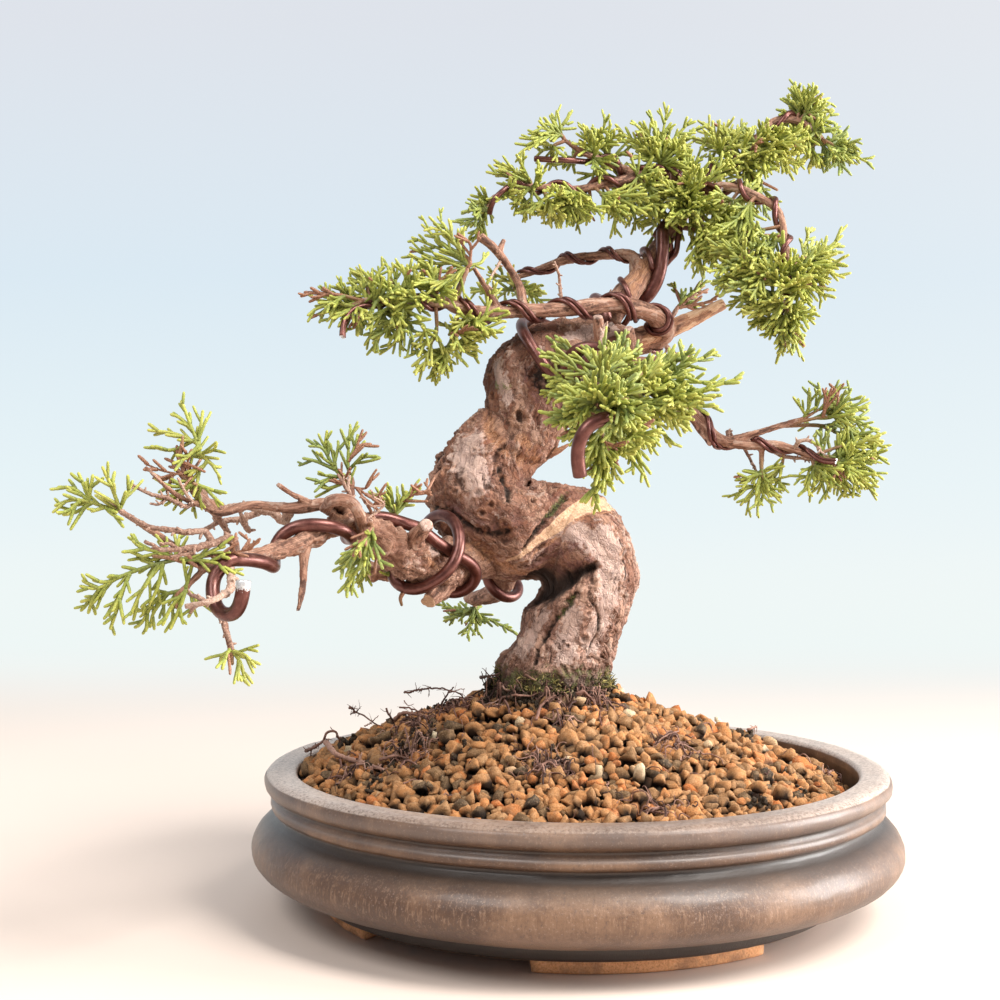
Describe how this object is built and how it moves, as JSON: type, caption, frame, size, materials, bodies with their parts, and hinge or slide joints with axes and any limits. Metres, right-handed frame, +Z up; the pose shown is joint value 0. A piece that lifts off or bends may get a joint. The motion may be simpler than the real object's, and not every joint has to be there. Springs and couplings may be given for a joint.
{
  "type": "bonsai tree in a pot",
  "caption": "Small juniper bonsai with a bent trunk and wired branches, on a mound of gravel in a round footed bowl.",
  "frame": {"origin": "under the middle of the whole part, at the level the feet stand on", "axes": "+Z up; -Y towards the front of the tree, as the picture shows it; +X to the right seen from the front"},
  "size_m": [0.2683, 0.2368, 0.2944],
  "materials": {
    "glaze": "streaky grey-brown stoneware glaze, satin",
    "screen": "matte black mesh",
    "gravel": "rough fired-clay grains",
    "bark": "rough peeling bark",
    "wire": "brown anodised, satin",
    "leaf": "waxy scale leaves"
  },
  "bodies": {
    "root": {"drain_screen_1": "screen", "drain_screen_2": "screen", "pot": "glaze", "soil": "gravel", "spray_back_low": "leaf", "spray_crown_back": "leaf", "spray_crown_core": "leaf", "spray_crown_edge": "leaf", "spray_crown_face": "leaf", "spray_crown_hook": "leaf", "spray_crown_low": "leaf", "spray_crown_mid": "leaf", "spray_crown_tip": "leaf", "spray_crown_top": "leaf", "spray_crown_under": "leaf", "spray_drop_face": "leaf", "spray_drop_inner": "leaf", "spray_drop_low": "leaf", "spray_drop_right": "leaf", "spray_far_right": "leaf", "spray_far_upper": "leaf", "spray_front_hang": "leaf", "spray_front_left": "leaf", "spray_front_low": "leaf", "spray_front_right": "leaf", "spray_front_top": "leaf", "spray_front_wide": "leaf", "spray_jin_back": "leaf", "spray_left_bud": "leaf", "spray_left_drop": "leaf", "spray_left_front": "leaf", "spray_left_hang": "leaf", "spray_left_low": "leaf", "spray_left_side": "leaf", "spray_left_tip": "leaf", "spray_left_top": "leaf", "spray_left_tuft": "leaf", "spray_left_under": "leaf", "spray_mid_crest": "leaf", "spray_mid_long": "leaf", "spray_mid_low": "leaf", "spray_mid_tip": "leaf", "spray_mid_under": "leaf", "spray_right_face": "leaf", "spray_right_lift": "leaf", "spray_right_low": "leaf", "spray_right_peak": "leaf", "spray_right_tip": "leaf", "spray_right_under": "leaf", "spray_up_left": "leaf", "tree": "bark", "wire_crown_drop": "wire", "wire_crown_left": "wire", "wire_crown_right": "wire", "wire_front": "wire", "wire_left": "wire", "wire_mid": "wire", "wire_right": "wire", "wire_top": "wire", "wire_up_left": "wire"}
  },
  "joints": []
}
